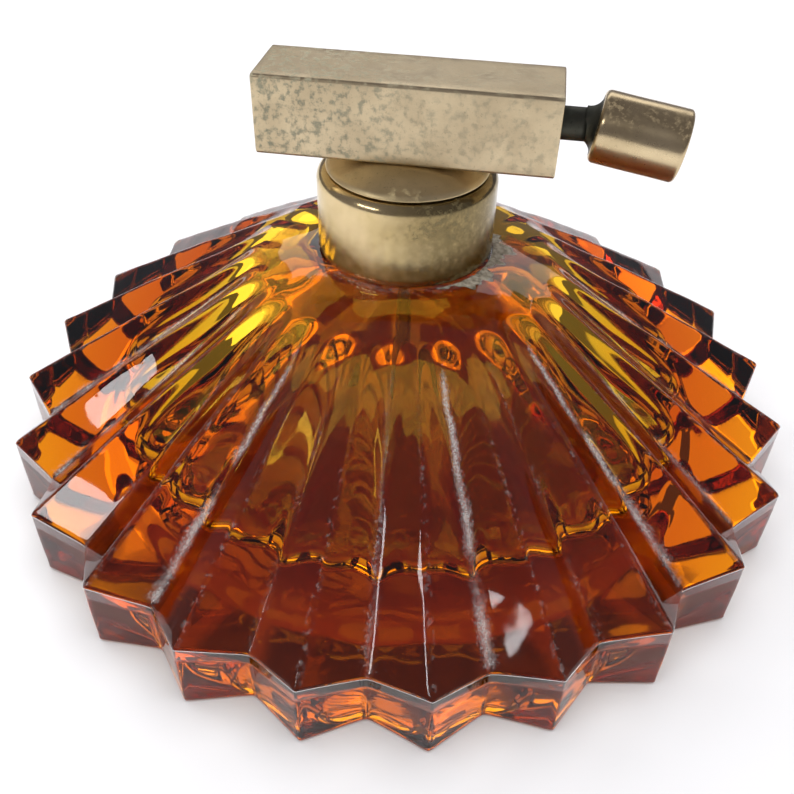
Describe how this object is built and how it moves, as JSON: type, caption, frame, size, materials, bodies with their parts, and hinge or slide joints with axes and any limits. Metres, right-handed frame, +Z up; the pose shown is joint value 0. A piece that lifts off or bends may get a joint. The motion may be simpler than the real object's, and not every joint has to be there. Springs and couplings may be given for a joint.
{
  "type": "perfume atomiser",
  "caption": "Low pleated amber glass perfume bottle with a screw-on brass spray head, a bar-shaped pump housing and a side plunger knob.",
  "frame": {"origin": "centre of the bottle's base", "axes": "+X along the pump housing towards the plunger knob, +Z up out of the bottle's neck"},
  "size_m": [0.1098, 0.1098, 0.0553],
  "materials": {
    "amber_glass": "pressed, polished, thick amber glass with worn crests",
    "satin_brass": "satin, worn, with green-grey tarnish patches",
    "polished_brass": "polished, lightly scratched",
    "dark_brass": "blackened, dark green tarnish",
    "steel": "bright spring steel",
    "cork": "cork and rubber sealing ring",
    "cement": "set plaster cement",
    "leather": "oiled cup leather",
    "clear_tube": "clear flexible tube"
  },
  "bodies": {
    "bottle": {"bottle": "amber_glass", "neck_cement": "cement", "neck_ring": "dark_brass"},
    "gasket": {"neck_gasket": "cork"},
    "head": {"turret_disc": "polished_brass", "clamp_flange": "dark_brass", "housing": "satin_brass", "nozzle_plate": "satin_brass", "gland_plate": "satin_brass", "rod_gland": "dark_brass", "pump_barrel": "satin_brass", "nozzle_tube": "satin_brass", "nozzle": "polished_brass", "swirl_core": "steel", "outlet_spring": "steel", "siphon_stem": "satin_brass", "valve_seat": "satin_brass", "dip_tube": "clear_tube", "return_spring": "steel"},
    "collar": {"collar_shell": "polished_brass", "screw_ring": "dark_brass"},
    "plunger": {"piston": "satin_brass", "cup_seal": "leather", "cup_nut": "satin_brass", "plunger_rod": "dark_brass", "knob": "polished_brass"},
    "inlet_ball": {"inlet_ball": "steel"},
    "outlet_ball": {"outlet_ball": "steel"}
  },
  "joints": [
    {"name": "head_off", "type": "slide", "parent": "bottle", "child": "gasket", "axis": [0, 0, 1], "range_m": [0, 0.04]},
    {"name": "unscrew_rise", "type": "slide", "parent": "gasket", "child": "head", "axis": [0, 0, 1], "range_m": [0, 0.0071]},
    {"name": "collar_turn", "type": "hinge", "parent": "head", "child": "collar", "pos_m": [0, 0, 0.038], "axis": [0, 0, 1], "range_deg": [0, 1260]},
    {"name": "plunger_press", "type": "slide", "parent": "head", "child": "plunger", "axis": [-1, 0, 0], "range_m": [0, 0.0024], "stiffness_N_per_m": 250, "springref_m": -0.003, "deforming": ["return_spring"]},
    {"name": "inlet_valve", "type": "slide", "parent": "head", "child": "inlet_ball", "axis": [0, 0, 1], "range_m": [0, 0.0008]},
    {"name": "outlet_valve", "type": "slide", "parent": "head", "child": "outlet_ball", "axis": [-1, 0, 0], "range_m": [0, 0.0004], "stiffness_N_per_m": 40, "springref_m": -0.0004, "deforming": ["outlet_spring"]}
  ],
  "couplings": [
    {"joint": "unscrew_rise", "follows": "collar_turn", "m_per_rad": 0.00031831}
  ]
}
